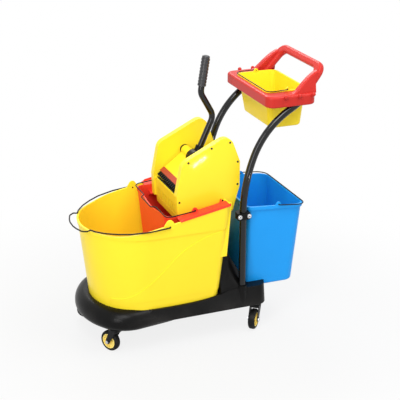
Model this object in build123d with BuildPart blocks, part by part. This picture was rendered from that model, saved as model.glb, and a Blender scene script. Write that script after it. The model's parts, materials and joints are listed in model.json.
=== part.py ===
"""Triple mop bucket trolley: wheeled base, three buckets, a lever wringer and a handle with a caddy.

Millimetres. The floor is Z = 0, the front of the trolley looks along -X and the handle is at +X.
Left and right are those of someone pushing the trolley, so the left side is at -Y.
"""

import math
import os

from build123d import *

os.makedirs("parts", exist_ok=True)

# Clearances
running_gap = 0.05
seat_gap = 0.3
pocket_gap = 1.5
fit_gap = 0.1

# Base moulding
base_nose_x = -429
base_tail_x = 224
base_half = 213
base_nose_bow = 112
base_nose_corner = 130
base_bottom_z = 88
base_top_z = 160
base_shoulder = 41
base_chine = 25
base_wall = 5
base_floor_skin = 1
bowl_back_x = -20
bowl_back_half = 168
bowl_back_corner = 60
bridge_front_x = -285
bridge_rake = 90
bridge_foot_half = 199
bridge_tail_half = 195
bridge_top_half = 184
bridge_front_corner = 20
bridge_corner = 34
bridge_foot_z = 104
bridge_edge_round = 6
saddle_z = 153
saddle_x = -120
saddle_front_x = -300
saddle_back_x = 78
saddle_tangents = ((1, -0.1), (1, 0.35))
deck_z = 178
hump_front_x = 46
hump_back_x = 150
hump_top_z = 300
hump_crest_x = 88
hump_knee_x = 128
hump_knee_z = 232
hump_half = 146
flare_half = 183
flare_front_z = 184
flare_crest_x = 76
flare_knee_x = 110
flare_knee_z = 186
hump_root = 26
rib_thickness = 4
rib_depth = 14
rib_cross_pitch = 90
rib_cross_count = 4
rib_middle_x = -170
rib_length = 340
tub_depth = 32
tub_gap = 2.4

# Castors
wheel_radius = 37.5
tyre_width = 24
tyre_shoulder = 8
hub_radius = 27
hub_dish_depth = 6
hub_rim = 4
hub_side_step = 1
axle_radius = 4
axle_boss_radius = 9
axle_boss_half = 14.5
bolt_head_radius = 6.5
bolt_head_height = 4
hexagon = 6
fork_inner_half = 15
fork_plate = 3
fork_eye_radius = 9
fork_crown_z = 80
fork_crown_height = 6
fork_crown_length = 40
fork_crown_corner = 9
fork_root_inset = 7
fork_root_height = 2
king_pin_radius = 5
king_pin_head_radius = 8.5
king_pin_head_height = 3.5
castor_cup_radius = 21
castor_cup_height = 7
castor_cup_edge = 3
castor_stem_radius = 6
castor_stem_length = 30
castor_boss_radius = 20
castor_trail = 22
castor_nose_inset = 91
castor_tail_inset = 28
castor_front_side_inset = 61
castor_rear_side_inset = 63
front_left_trail_angle = 122
front_right_trail_angle = 200
rear_left_trail_angle = 229
rear_right_trail_angle = 150

# Uprights
post_x = 130
post_y = 176
post_radius = 12.5
post_wall = 1.5
post_foot_z = 128
post_straight_z = 462
post_lean_radius = 565
post_lean = 21
post_bend_radius = 305
post_bend = 37
post_end_length = 60
sleeve_length = 80
socket_radius = 18
socket_top_z = 188
socket_round_z = 170
socket_foot_z = 112
clamp_height = 24
clamp_outer = 16
clamp_inner = 38
clamp_front = 24
clamp_round = 7
clamp_bolt_radius = 3
clamp_bolt_reach = 17.5
clamp_bolt_head = 5.5
clamp_bolt_head_height = 3

# Front bucket
bucket_floor_z = 125
bucket_foot_front = -375
bucket_nose_length = 140
bucket_nose_spread = 0.19
bucket_foot_half = 175
bucket_foot_back = 40
bucket_front_draft = 6.3
bucket_side_draft = 4.9
bucket_back_draft = 5
bucket_back_corner = 26
bucket_wall = 4
bucket_bottom = 5
bucket_foot_round = 12
rim_front_z = 438
rim_knee_x = -317
rim_back_z = 510
rim_knee_round = 220
rim_band = 3
rim_band_depth = 12
band_foot_z = 425
band_front_x = -200
band_ramp = 40
trim_margin = 40
flange_foot_z = 316
flange_depth = 7
flange_width = 18
swoosh_relief = 1.6
swoosh_foot_z = 186
swoosh_crease = ((-345, 196), (-255, 226), (-182, 282), (-108, 355), (-34, 397), (59, 421))
swoosh_tangents = ((1, 0), (1, 0.2))
main_ear_x = -150
main_ear_z = 464
main_ear_rise = 11
main_ear_radius = 13
main_ear_thickness = 7
main_wire_radius = 2.5
notch_side_gap = 7
notch_foot_gap = 3

# Red inner bucket
inner_floor_z = 255
inner_front_x = -150
inner_back_x = 60
inner_half = 165
inner_mouth_z = 482
inner_front_draft = 4.5
inner_side_draft = 3.2
inner_back_draft = 5
inner_corner = 26
inner_wall = 3.5
inner_dip = 18
inner_dip_half = 105
inner_lip = 3
inner_lip_depth = 9
inner_flange_front_x = -112
inner_flange_back_x = 70
inner_flange_thickness = 3
inner_flange_lip = 10
inner_flange_ramp = 15
inner_flange_rake = 12
inner_trim_margin = 30
inner_shelf_width = 34
inner_shelf_depth = 20
inner_shelf_lead = 10
inner_shelf_tail = 8
inner_ear_x = -45
inner_ear_radius = 9
inner_ear_thickness = 5
inner_ear_stand = 4
inner_wire_radius = 2

# Wringer
wringer_foot_z = 460
wringer_half = 135
casing_inner_half = 109
casing_wall = 4
cover_thickness = 4
cover_edge_round = 1.5
lever_x = 20
lever_z = 622
casing_back_x = 134
casing_foot_stand = 3
casing_nose_stand = 7
casing_nose_drop = 82
casing_brow_reach = 98
casing_brow_rise = 33
casing_crest_reach = 76
casing_crest_rise = 119
casing_back_rise = 18
casing_back_drop = 72
casing_heel_reach = 26
casing_crest_round = 34
casing_brow_round = 38
mouth_lip_x = -93
mouth_lip_z = 529
mouth_wall = 5
mouth_foot_z = 436
mouth_rake = 6
back_wall_drop = 75
back_wall_depth = 120
back_wall_height = 130
mouth_slot_width = 7
mouth_slot_height = 40
mouth_slot_pitch = 17
mouth_slot_count = 11
strainer_radius = 138
strainer_thickness = 6
strainer_half = 107
strainer_bar_width = 5
strainer_bar_count = 15
strainer_front_angle = 222
strainer_back_angle = 312
strainer_rail_angle = 5
strainer_ledge = 8
cover_screw_radius = 1.9
cover_screw_length = 15
cover_screw_head_radius = 4
cover_screw_head_height = 2
cover_screw_turns = (0.348, 0.45, 0.547, 0.64, 0.757, 0.94)
cover_screw_inner = (50, -120)
cover_boss_radius = 6
cover_boss_bite = 1.5
bush_radius = 13
bush_flange_radius = 17
bush_flange = 2
bush_end_gap = 1

# Lever and press
shaft_radius = 9
shaft_end_gap = 2
shaft_chamfer = 1
hub_half = 19
lever_hub_radius = 30
lever_hub_round = 3
hub_collar_radius = 16
hub_collar_length = 46
lever_tube_radius = 11
lever_tube_wall = 1.5
lever_root = 14
lever_knee = (68, 149)
lever_neck = (20, 235)
lever_tip = (40, 360)
lever_bend = 42
grip_radius = 15
grip_length = 100
grip_rib_count = 9
grip_rib_depth = 1.5
grip_rib_share = 0.6
grip_cap = 6
grip_tip_round = 5
press_angle = 216.7
press_reach = 106
press_plate_thickness = 8
press_half = 98
press_sleeve_radius = 17
press_rib_count = 5
press_rib_height = 12
press_rib_toe = 14
hub_clear = 4
hub_side_clear = 2
strip_reach = 118
strip_thickness = 14
strip_bite = 8
comb_root = 109
comb_reach = 134
comb_thickness = 5
comb_tooth_width = 6
comb_tooth_count = 13
comb_slot_short = 6

# Blue rear bucket
rear_front_x = 153
rear_back_x = 371
rear_half = 168
rear_mouth_z = 470
rear_mouth_slope = 17
rear_floor_z = 157
rear_front_draft = 0.6
rear_back_draft = 4
rear_side_draft = 4.6
rear_front_corner = 14
rear_back_corner = 34
rear_wall = 3.5
rear_step_gap = 5
rear_foot_round = 8
rear_rim_band = 5
rear_rim_depth = 12
rear_ear_x = 268
rear_ear_radius = 9
rear_ear_thickness = 5
rear_wire_radius = 2

# Handle tray and caddy
tray_front_x = 211
tray_back_x = 394
tray_half = 192
tray_foot_z = 832
tray_top_z = 872
tray_corner = 30
tray_edge_round = 9
tray_foot_round = 6
tray_side_wall = 11
tray_wall = 4
loop_root_x = 359
loop_root_drop = 6
loop_angle = 51
loop_root_half = 180
loop_top_half = 166
loop_reach = 120
loop_bar = 28
loop_arm = 33
loop_depth = 24
loop_corner = 46
loop_edge_round = 9
web_half = 182
web_thickness = 25
web_front_x = 304
web_crest = ((330, 22), (361, 51))
web_tip = (403, 78)
web_tangents = ((1, 0.3), (1, 0.4))
web_back_rise = 46
web_round = 6
horn_first_x = 272
horn_pitch = 52
horn_count = 3
horn_radius = 5.5
horn_ball_radius = 7
horn_length = 18
horn_inset = 6
horn_drop = 14
horn_tilt = 45
socket_wall = 4
loop_sink = 24
loop_inner_corner = 26
caddy_front_x = 232
caddy_back_x = 383
caddy_half = 135
caddy_floor_z = 738
caddy_front_draft = 9
caddy_back_draft = 4
caddy_side_draft = 6.5
caddy_corner = 22
caddy_wall = 3
caddy_gap = 1
caddy_rim = 4
caddy_rim_height = 3
caddy_ear_x = 308
caddy_ear_radius = 7
caddy_ear_thickness = 4
caddy_wire_radius = 1.6
caddy_foot_round = 10

# Bails: reach from the ears, half width and sag at each bend, from the ears to the middle
bail_ear_bend = 6
bail_end = 2
main_bail_plan = (
    (75, 211, 0),
    (135, 193, 0),
    (175, 168, 0),
    (210, 138, 0),
    (235, 105, 0),
    (246, 80, 0),
    (257, 91, 0),
    (274, 78, 0),
    (284, 46, 0),
    (288.8, 20, 0),
)
main_bail_bends = (40, 60, 60, 50, 20, 5, 6, 20, 30, 40)
main_bail_rest = 258
inner_bail_plan = ((107, 176, 0), (107, 64, 0), (122, 52, 0))
inner_bail_bends = (22, 9, 9)
inner_bail_rest = 107
rear_bail_plan = ((105, 181, 0),)
rear_bail_bends = (36,)
rear_bail_rest = 105
caddy_bail_plan = ((77, 143, 0),)
caddy_bail_bends = (24,)
caddy_bail_rest = 77


def nose_outline(z, front, bow, half, back, back_half, nose_corner, back_corner):
    """Plan outline with a bowed front, rounded shoulders and a straight back."""
    with BuildSketch(Plane.XY.offset(z)) as outline:
        with BuildLine():
            nose = ThreePointArc((front + bow, half), (front, 0), (front + bow, -half))
            Polyline(nose @ 1, (back, -back_half), (back, back_half), nose @ 0)
        make_face()
        fillet(outline.vertices().sort_by(Axis.X)[:2], nose_corner)
        fillet(outline.vertices().sort_by(Axis.X)[-2:], back_corner)
    return outline.sketch


def box_outline(z, front, back, front_half, back_half, front_corner, back_corner):
    """Plan outline of a four-sided tub, symmetric about the XZ plane."""
    with BuildSketch(Plane.XY.offset(z)) as outline:
        with BuildLine():
            Polyline(
                (front, front_half), (front, -front_half), (back, -back_half), (back, back_half), close=True
            )
        make_face()
        fillet(outline.vertices().sort_by(Axis.X)[:2], front_corner)
        fillet(outline.vertices().sort_by(Axis.X)[-2:], back_corner)
    return outline.sketch


def side_face(*points):
    """Straight-edged face in the XZ plane, for trimming a piece across its whole width."""
    with BuildSketch(Plane.XZ) as profile:
        with BuildLine():
            Polyline(*points, close=True)
        make_face()
    return profile.sketch


def rise(height, draft):
    """How far a drafted wall leans out over a height."""
    return height * math.tan(math.radians(draft))


def main_section(z, grow):
    """Front bucket's outline at a height, pushed out by grow: an elliptical nose and a straight back."""
    height = z - bucket_floor_z
    half = bucket_foot_half + rise(height, bucket_side_draft) + grow
    nose = bucket_nose_length + bucket_nose_spread * height + grow
    shoulder = bucket_foot_front - rise(height, bucket_front_draft) - grow + nose
    back = bucket_foot_back + rise(height, bucket_back_draft) + grow
    with BuildSketch(Plane.XY.offset(z)) as outline:
        with BuildLine():
            bow = EllipticalCenterArc((shoulder, 0), nose, half, 90, arc_size=180)
            Polyline(bow @ 1, (back, -half), (back, half), bow @ 0)
        make_face()
        fillet(outline.vertices().sort_by(Axis.X)[-2:], bucket_back_corner + grow)
    return outline.sketch


def inner_section(z, grow):
    """Red bucket's outline at a height, pushed out by grow."""
    height = z - inner_mouth_z
    half = inner_half + rise(height, inner_side_draft) + grow
    front = inner_front_x - rise(height, inner_front_draft) - grow
    back = inner_back_x + rise(height, inner_back_draft) + grow
    return box_outline(z, front, back, half, half, inner_corner + grow, inner_corner + grow)


def rear_section(z, grow):
    """Blue bucket's outline at a height, pushed out by grow."""
    height = z - rear_mouth_z
    half = rear_half + rise(height, rear_side_draft) + grow
    front = rear_front_x - rise(height, rear_front_draft) - grow
    back = rear_back_x + rise(height, rear_back_draft) + grow
    return box_outline(z, front, back, half, half, rear_front_corner + grow, rear_back_corner + grow)


def caddy_section(z, grow):
    """Caddy's outline at a height, pushed out by grow."""
    height = z - tray_top_z
    half = caddy_half + rise(height, caddy_side_draft) + grow
    front = caddy_front_x - rise(height, caddy_front_draft) - grow
    back = caddy_back_x + rise(height, caddy_back_draft) + grow
    return box_outline(z, front, back, half, half, caddy_corner + grow, caddy_corner + grow)


def rim_height(x):
    """Height of the front bucket's rim, which climbs from its knee to the back."""
    bucket_back = bucket_foot_back + rise(rim_back_z - bucket_floor_z, bucket_back_draft)
    slope = (rim_back_z - rim_front_z) / (bucket_back - rim_knee_x)
    return rim_front_z + max(0, x - rim_knee_x) * slope


def rear_rim_height(x):
    """Height of the blue bucket's rim, which drops to the back."""
    along = (x - rear_front_x) / (rear_back_x - rear_front_x)
    return rear_mouth_z + (0.5 - along) * rear_mouth_slope


def casing_outline(y, inset):
    """Side outline of the wringer casing at a place along Y, drawn in by inset."""
    brow = (lever_x - casing_brow_reach, lever_z + casing_brow_rise)
    with BuildSketch(Plane.XZ.offset(-y)) as outline:
        with BuildLine():
            Polyline(
                (mouth_lip_x - casing_foot_stand, wringer_foot_z),
                (mouth_lip_x - casing_nose_stand, lever_z - casing_nose_drop),
                brow,
                (lever_x + casing_crest_reach, lever_z + casing_crest_rise),
                (casing_back_x, lever_z + casing_back_rise),
                (casing_back_x, lever_z - casing_back_drop),
                (casing_back_x - casing_heel_reach, wringer_foot_z),
                close=True,
            )
        make_face()
        fillet(outline.vertices().group_by(Axis.Y)[-1], casing_crest_round)
        fillet(outline.vertices().sort_by_distance(brow)[0], casing_brow_round)
        if inset:
            offset(amount=-inset)
    return outline.sketch


def ring_band(y, inner, outer, start, end):
    """Part of a ring about the lever shaft, at a place along Y."""
    with BuildSketch(Plane.XZ.offset(-y)) as band:
        with BuildLine():
            near = CenterArc((lever_x, lever_z), inner, start, end - start)
            far = CenterArc((lever_x, lever_z), outer, start, end - start)
            Line(near @ 0, far @ 0)
            Line(near @ 1, far @ 1)
        make_face()
    return band.sketch


far_x = 2 * base_tail_x
castor_seat_z = fork_crown_z + fork_crown_height + seat_gap
front_castor_x = base_nose_x + castor_nose_inset
front_castor_y = base_half - castor_front_side_inset
rear_castor_x = base_tail_x - castor_tail_inset
rear_castor_y = base_half - castor_rear_side_inset
castor_boss_z = castor_seat_z + castor_cup_height
pocket_floor_z = bucket_floor_z - seat_gap

castors = {
    "front_left": (front_castor_x, -front_castor_y, front_left_trail_angle),
    "front_right": (front_castor_x, front_castor_y, front_right_trail_angle),
    "rear_left": (rear_castor_x, -rear_castor_y, rear_left_trail_angle),
    "rear_right": (rear_castor_x, rear_castor_y, rear_right_trail_angle),
}

# Base: a bulged bowl in front, a straight-sided bridge behind, a hump that leads up to the uprights
with BuildPart() as bridge:
    loft(
        [
            box_outline(
                bridge_foot_z, bridge_front_x, base_tail_x, bridge_foot_half, bridge_tail_half,
                bridge_front_corner, bridge_corner,
            ),
            box_outline(
                deck_z, bridge_front_x + bridge_rake, base_tail_x, bridge_top_half, bridge_top_half,
                bridge_front_corner, bridge_corner,
            ),
        ],
        ruled=True,
    )
    # Saddle in the top, between the bowl and the deck
    with BuildSketch(Plane.XZ):
        with BuildLine():
            saddle = Spline(
                (saddle_front_x, base_top_z),
                (saddle_x, saddle_z),
                (saddle_back_x, deck_z),
                tangents=saddle_tangents,
            )
            Polyline(saddle @ 1, (saddle_back_x, hump_top_z), (saddle_front_x, hump_top_z), saddle @ 0)
        make_face()
    extrude(amount=2 * base_half, both=True, mode=Mode.SUBTRACT)
    fillet(bridge.edges().group_by(Axis.Z)[0], bridge_edge_round)

with BuildPart() as hump:
    with BuildSketch(Plane.XZ):
        with BuildLine():
            Polyline(
                (hump_front_x, deck_z - hump_root),
                (hump_front_x, hump_top_z),
                (hump_crest_x, hump_top_z),
                (hump_knee_x, hump_knee_z),
                (hump_back_x, deck_z),
                (hump_back_x, deck_z - hump_root),
                close=True,
            )
        make_face()
    extrude(amount=hump_half, both=True)
    for hand in (1, -1):
        with BuildSketch(Plane.XZ.offset(-hand * hump_half)) as hump_end:
            with BuildLine():
                Polyline(
                    (hump_front_x, deck_z - hump_root),
                    (hump_front_x, hump_top_z),
                    (hump_crest_x, hump_top_z),
                    (hump_knee_x, hump_knee_z),
                    (hump_back_x, deck_z),
                    (hump_back_x, deck_z - hump_root),
                    close=True,
                )
            make_face()
        with BuildSketch(Plane.XZ.offset(-hand * flare_half)) as flare_end:
            with BuildLine():
                Polyline(
                    (hump_front_x, deck_z - hump_root),
                    (hump_front_x, flare_front_z),
                    (flare_crest_x, flare_front_z),
                    (flare_knee_x, flare_knee_z),
                    (hump_back_x, deck_z),
                    (hump_back_x, deck_z - hump_root),
                    close=True,
                )
            make_face()
        loft([hump_end.sketch, flare_end.sketch], ruled=True)
    # Hollow behind the face
    extrude(
        side_face(
            (hump_front_x + base_wall, deck_z - 2 * hump_root),
            (hump_front_x + base_wall, hump_top_z - 2 * base_wall),
            (hump_crest_x - 2 * base_wall, hump_top_z - 2 * base_wall),
            (hump_knee_x - 2 * base_wall, hump_knee_z - base_wall),
            (hump_back_x - 2 * base_wall, deck_z - 2 * base_wall),
            (hump_back_x - 2 * base_wall, deck_z - 2 * hump_root),
        ),
        amount=hump_half - base_wall,
        both=True,
        mode=Mode.SUBTRACT,
    )

with BuildPart() as base:
    extrude(
        nose_outline(
            base_bottom_z, base_nose_x, base_nose_bow, base_half,
            bowl_back_x, bowl_back_half, base_nose_corner, bowl_back_corner,
        ),
        amount=base_top_z - base_bottom_z,
    )
    fillet(base.edges().group_by(Axis.Z)[-1], base_shoulder)
    fillet(base.edges().group_by(Axis.Z)[0], base_chine)
    add(bridge.part)
    add(hump.part)
    # Open underside
    extrude(
        nose_outline(
            base_bottom_z - base_floor_skin, base_nose_x + base_chine, base_nose_bow, base_half - base_chine,
            bowl_back_x - base_wall, bowl_back_half - base_chine,
            base_nose_corner - base_chine, bowl_back_corner - base_chine,
        ),
        amount=base_top_z - base_shoulder - base_bottom_z + base_floor_skin,
        mode=Mode.SUBTRACT,
    )
    loft(
        [
            box_outline(
                bridge_foot_z - base_chine,
                bridge_front_x + bridge_rake,
                base_tail_x - base_wall,
                bridge_top_half - base_wall,
                bridge_top_half - base_wall,
                bridge_front_corner,
                bridge_corner - base_wall,
            ),
            box_outline(
                saddle_z - base_wall,
                bridge_front_x + bridge_rake,
                base_tail_x - base_wall,
                bridge_top_half - 2 * base_wall,
                bridge_top_half - 2 * base_wall,
                bridge_front_corner,
                bridge_corner - base_wall,
            ),
        ],
        ruled=True,
        mode=Mode.SUBTRACT,
    )
    # Tub under the front bucket, hung from the bowl, with ribs below it
    extrude(main_section(pocket_floor_z - base_wall, tub_gap + base_wall), amount=tub_depth)
    with BuildSketch(Plane.XY.offset(pocket_floor_z - base_wall - rib_depth)):
        with Locations((rib_middle_x, 0)):
            with GridLocations(rib_cross_pitch, 0, rib_cross_count, 1):
                Rectangle(rib_thickness, 2 * bucket_foot_half)
            with GridLocations(0, bucket_foot_half, 1, 2):
                Rectangle(rib_length, rib_thickness)
    extrude(amount=rib_depth)
    # Castor bosses and post sockets
    with BuildSketch(Plane.XY.offset(castor_boss_z)):
        with Locations((front_castor_x, front_castor_y), (front_castor_x, -front_castor_y)):
            Circle(castor_boss_radius)
    extrude(amount=base_top_z - base_shoulder / 2 - castor_boss_z)
    with BuildSketch(Plane.XY.offset(castor_boss_z)):
        with Locations((rear_castor_x, rear_castor_y), (rear_castor_x, -rear_castor_y)):
            Circle(castor_boss_radius)
    extrude(amount=deck_z - base_wall / 2 - castor_boss_z)
    with BuildSketch(Plane.XY.offset(socket_foot_z)):
        with Locations((post_x, post_y), (post_x, -post_y)):
            Circle(socket_radius - 1)
    extrude(amount=socket_round_z - socket_foot_z)
    with BuildSketch(Plane.XY.offset(socket_round_z)):
        with Locations((post_x, post_y), (post_x, -post_y)):
            Circle(socket_radius)
    extrude(amount=socket_top_z - socket_round_z)
    with Locations((post_x, post_y, socket_round_z), (post_x, -post_y, socket_round_z)):
        Sphere(socket_radius)
    # Pocket, post holes and stem holes
    loft(
        [
            main_section(pocket_floor_z, tub_gap),
            main_section(hump_top_z + hump_root, tub_gap),
        ],
        ruled=True,
        mode=Mode.SUBTRACT,
    )
    with BuildSketch(Plane.XY.offset(post_foot_z)):
        with Locations((post_x, post_y), (post_x, -post_y)):
            Circle(post_radius + fit_gap)
    extrude(amount=socket_top_z, mode=Mode.SUBTRACT)
    with BuildSketch(Plane.XY.offset(castor_boss_z)):
        with Locations(*[(x, y) for x, y, _ in castors.values()]):
            Circle(castor_stem_radius + fit_gap)
    extrude(amount=castor_stem_length + base_floor_skin, mode=Mode.SUBTRACT)
    with BuildSketch(Plane.XY.offset(castor_boss_z)):
        with Locations(*[(x, y) for x, y, _ in castors.values()]):
            Circle(castor_cup_radius + pocket_gap)
    extrude(amount=-2 * castor_cup_height, mode=Mode.SUBTRACT)
base.part.label = "base"
export_step(base.part, "parts/base.step")

# Castors
for place, (stem_x, stem_y, trail_angle) in castors.items():
    trail = math.radians(trail_angle)
    along = (math.cos(trail), math.sin(trail), 0)
    across = (math.sin(trail), -math.cos(trail), 0)
    stem_axis = Axis((stem_x, stem_y, 0), (0, 0, 1))
    side = Plane(origin=(stem_x, stem_y, 0), x_dir=along, z_dir=across)

    with BuildPart() as seat:
        with BuildSketch(side):
            with BuildLine():
                Polyline(
                    (0, fork_crown_z - seat_gap - king_pin_head_height),
                    (king_pin_head_radius, fork_crown_z - seat_gap - king_pin_head_height),
                    (king_pin_head_radius, fork_crown_z - seat_gap),
                    (king_pin_radius, fork_crown_z - seat_gap),
                    (king_pin_radius, castor_seat_z),
                    (castor_cup_radius, castor_seat_z),
                    (castor_cup_radius, castor_boss_z - castor_cup_edge),
                    (castor_cup_radius - castor_cup_edge, castor_boss_z),
                    (castor_stem_radius, castor_boss_z),
                    (castor_stem_radius, castor_boss_z + castor_stem_length),
                    (0, castor_boss_z + castor_stem_length),
                    close=True,
                )
            make_face()
        revolve(axis=stem_axis)
    seat.part.label = f"castor_seat_{place}"
    export_step(seat.part, f"parts/castor_seat_{place}.step")

    with BuildPart() as fork:
        with BuildSketch(Plane(origin=(stem_x, stem_y, fork_crown_z), x_dir=along, z_dir=(0, 0, 1))):
            RectangleRounded(fork_crown_length, 2 * (fork_inner_half + fork_plate), fork_crown_corner)
            Circle(king_pin_radius + running_gap, mode=Mode.SUBTRACT)
        extrude(amount=fork_crown_height)
        for hand in (1, -1):
            with BuildSketch(side.offset(hand * fork_inner_half)):
                with Locations((castor_trail, wheel_radius)):
                    Circle(fork_eye_radius)
                with Locations((0, fork_crown_z + fork_root_height / 2)):
                    Rectangle(fork_crown_length - 2 * fork_root_inset, fork_root_height)
                make_hull()
                with Locations((castor_trail, wheel_radius)):
                    Circle(axle_radius + fit_gap, mode=Mode.SUBTRACT)
            extrude(amount=hand * fork_plate)
    fork.part.label = f"fork_{place}"
    export_step(fork.part, f"parts/fork_{place}.step")

    with BuildPart() as axle:
        axle_half = fork_inner_half + fork_plate + seat_gap
        with BuildSketch(side.offset(-axle_half)):
            with Locations((castor_trail, wheel_radius)):
                Circle(axle_radius)
        extrude(amount=2 * axle_half)
        for hand in (1, -1):
            with BuildSketch(side.offset(hand * axle_half)):
                with Locations((castor_trail, wheel_radius)):
                    RegularPolygon(bolt_head_radius, hexagon)
            extrude(amount=hand * bolt_head_height)
    axle.part.label = f"axle_bolt_{place}"
    export_step(axle.part, f"parts/axle_bolt_{place}.step")

    with BuildPart() as hub:
        with BuildSketch(side.offset(hub_side_step - tyre_width / 2)):
            with Locations((castor_trail, wheel_radius)):
                Circle(hub_radius)
        extrude(amount=tyre_width - 2 * hub_side_step)
        for hand in (1, -1):
            with BuildSketch(side.offset(hand * (tyre_width / 2 - hub_side_step))):
                with Locations((castor_trail, wheel_radius)):
                    Circle(hub_radius - hub_rim)
            extrude(amount=-hand * hub_dish_depth, mode=Mode.SUBTRACT)
        with BuildSketch(side.offset(-axle_boss_half)):
            with Locations((castor_trail, wheel_radius)):
                Circle(axle_boss_radius)
        extrude(amount=2 * axle_boss_half)
        with BuildSketch(side.offset(-axle_boss_half)):
            with Locations((castor_trail, wheel_radius)):
                Circle(axle_radius + running_gap)
        extrude(amount=2 * axle_boss_half, mode=Mode.SUBTRACT)
    hub.part.label = f"wheel_hub_{place}"
    export_step(hub.part, f"parts/wheel_hub_{place}.step")

    with BuildPart() as tyre:
        with BuildSketch(side.offset(-tyre_width / 2)):
            with Locations((castor_trail, wheel_radius)):
                Circle(wheel_radius)
                Circle(hub_radius, mode=Mode.SUBTRACT)
        extrude(amount=tyre_width)
        fillet(tyre.edges().filter_by(GeomType.CIRCLE).group_by(SortBy.RADIUS)[-1], tyre_shoulder)
    tyre.part.label = f"tyre_{place}"
    export_step(tyre.part, f"parts/tyre_{place}.step")

# Uprights: lower and upper tube, a sleeve inside their joint and a clamp round it
rear_mouth_front_z = rear_mouth_z + rear_mouth_slope / 2
clamp_top_z = rear_mouth_front_z - rear_rim_depth - seat_gap
post_joint_z = clamp_top_z - clamp_height / 2
bolt_places = ((post_x - clamp_bolt_reach, post_joint_z), (post_x + clamp_bolt_reach, post_joint_z))
clamp_back_x = rear_front_x - pocket_gap
post_ends = {}
for place, hand in (("left", -1), ("right", 1)):
    with BuildPart() as lower_post:
        with BuildSketch(Plane.XY.offset(post_foot_z)):
            with Locations((post_x, hand * post_y)):
                Circle(post_radius)
                Circle(post_radius - post_wall, mode=Mode.SUBTRACT)
        extrude(amount=post_joint_z - post_foot_z)
    lower_post.part.label = f"lower_post_{place}"
    export_step(lower_post.part, f"parts/lower_post_{place}.step")

    with BuildPart() as upper_post:
        with BuildLine(Plane.XZ.offset(-hand * post_y)) as post_route:
            straight = Line((post_x, post_joint_z), (post_x, post_straight_z))
            lean = JernArc(straight @ 1, straight % 1, post_lean_radius, -post_lean)
            bend = JernArc(lean @ 1, lean % 1, post_bend_radius, -post_bend)
            Line(bend @ 1, bend @ 1 + post_end_length * (bend % 1))
        with BuildSketch(Plane.XY.offset(post_joint_z)):
            with Locations((post_x, hand * post_y)):
                Circle(post_radius)
                Circle(post_radius - post_wall, mode=Mode.SUBTRACT)
        sweep(path=post_route.wire())
    upper_post.part.label = f"upper_post_{place}"
    export_step(upper_post.part, f"parts/upper_post_{place}.step")
    post_ends[hand] = post_route.wire()

    with BuildPart() as sleeve:
        with BuildSketch(Plane.XY.offset(post_joint_z - sleeve_length / 2)):
            with Locations((post_x, hand * post_y)):
                Circle(post_radius - post_wall - running_gap)
                Circle(post_radius - 2 * post_wall - running_gap, mode=Mode.SUBTRACT)
        extrude(amount=post_straight_z - post_joint_z + sleeve_length / 2)
    sleeve.part.label = f"post_sleeve_{place}"
    export_step(sleeve.part, f"parts/post_sleeve_{place}.step")

    with BuildPart() as clamp:
        with BuildSketch(Plane.XY.offset(clamp_top_z - clamp_height)) as clamp_plan:
            with BuildLine():
                Polyline(
                    (post_x - clamp_front, hand * (post_y + clamp_outer)),
                    (clamp_back_x, hand * (post_y + clamp_outer)),
                    (clamp_back_x, hand * (post_y - clamp_inner)),
                    (post_x + post_radius, hand * (post_y - clamp_inner)),
                    (post_x - clamp_front, hand * (post_y - clamp_outer)),
                    close=True,
                )
            make_face()
            fillet(clamp_plan.vertices().group_by(Axis.X)[0], clamp_round)
            with Locations((post_x, hand * post_y)):
                Circle(post_radius + running_gap, mode=Mode.SUBTRACT)
        extrude(amount=clamp_height)
        with BuildSketch(Plane.XZ.offset(-hand * (post_y + clamp_outer))):
            with Locations(*bolt_places):
                Circle(clamp_bolt_radius + running_gap)
        extrude(amount=hand * 2 * clamp_inner, mode=Mode.SUBTRACT)
    clamp.part.label = f"post_clamp_{place}"
    export_step(clamp.part, f"parts/post_clamp_{place}.step")

with BuildPart() as clamp_bolts:
    for hand in (1, -1):
        with BuildSketch(Plane.XZ.offset(-hand * (post_y + clamp_outer))):
            with Locations(*bolt_places):
                Circle(clamp_bolt_head)
        extrude(amount=-hand * clamp_bolt_head_height)
        with BuildSketch(Plane.XZ.offset(-hand * (post_y + clamp_outer))):
            with Locations(*bolt_places):
                Circle(clamp_bolt_radius)
        extrude(amount=hand * 2 * clamp_outer)
    fillet(
        clamp_bolts.edges().group_by(Axis.Y)[0] + clamp_bolts.edges().group_by(Axis.Y)[-1],
        clamp_bolt_head_height / 3,
    )
clamp_bolts.part.label = "clamp_bolts"
export_step(clamp_bolts.part, "parts/clamp_bolts.step")

# Front bucket: a drafted tub whose rim climbs to the back
trim_z = rim_back_z + trim_margin
with BuildPart() as rim_band_ring:
    loft([main_section(bucket_floor_z, rim_band), main_section(trim_z, rim_band)], ruled=True)
    extrude(
        side_face(
            (-far_x, rim_front_z - rim_band_depth),
            (band_front_x - band_ramp, rim_front_z - rim_band_depth),
            (band_front_x, band_foot_z),
            (far_x, band_foot_z),
            (far_x, trim_z),
            (-far_x, trim_z),
        ),
        amount=far_x,
        both=True,
        mode=Mode.INTERSECT,
    )

with BuildPart() as swoosh_panel:
    loft([main_section(bucket_floor_z, swoosh_relief), main_section(trim_z, swoosh_relief)], ruled=True)
    with BuildSketch(Plane.XZ):
        with BuildLine():
            crease = Spline(*swoosh_crease, tangents=swoosh_tangents)
            Polyline(
                crease @ 1,
                (far_x, band_foot_z),
                (far_x, swoosh_foot_z),
                (swoosh_crease[0][0], swoosh_foot_z),
                crease @ 0,
            )
        make_face()
    extrude(amount=far_x, both=True, mode=Mode.INTERSECT)

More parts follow.
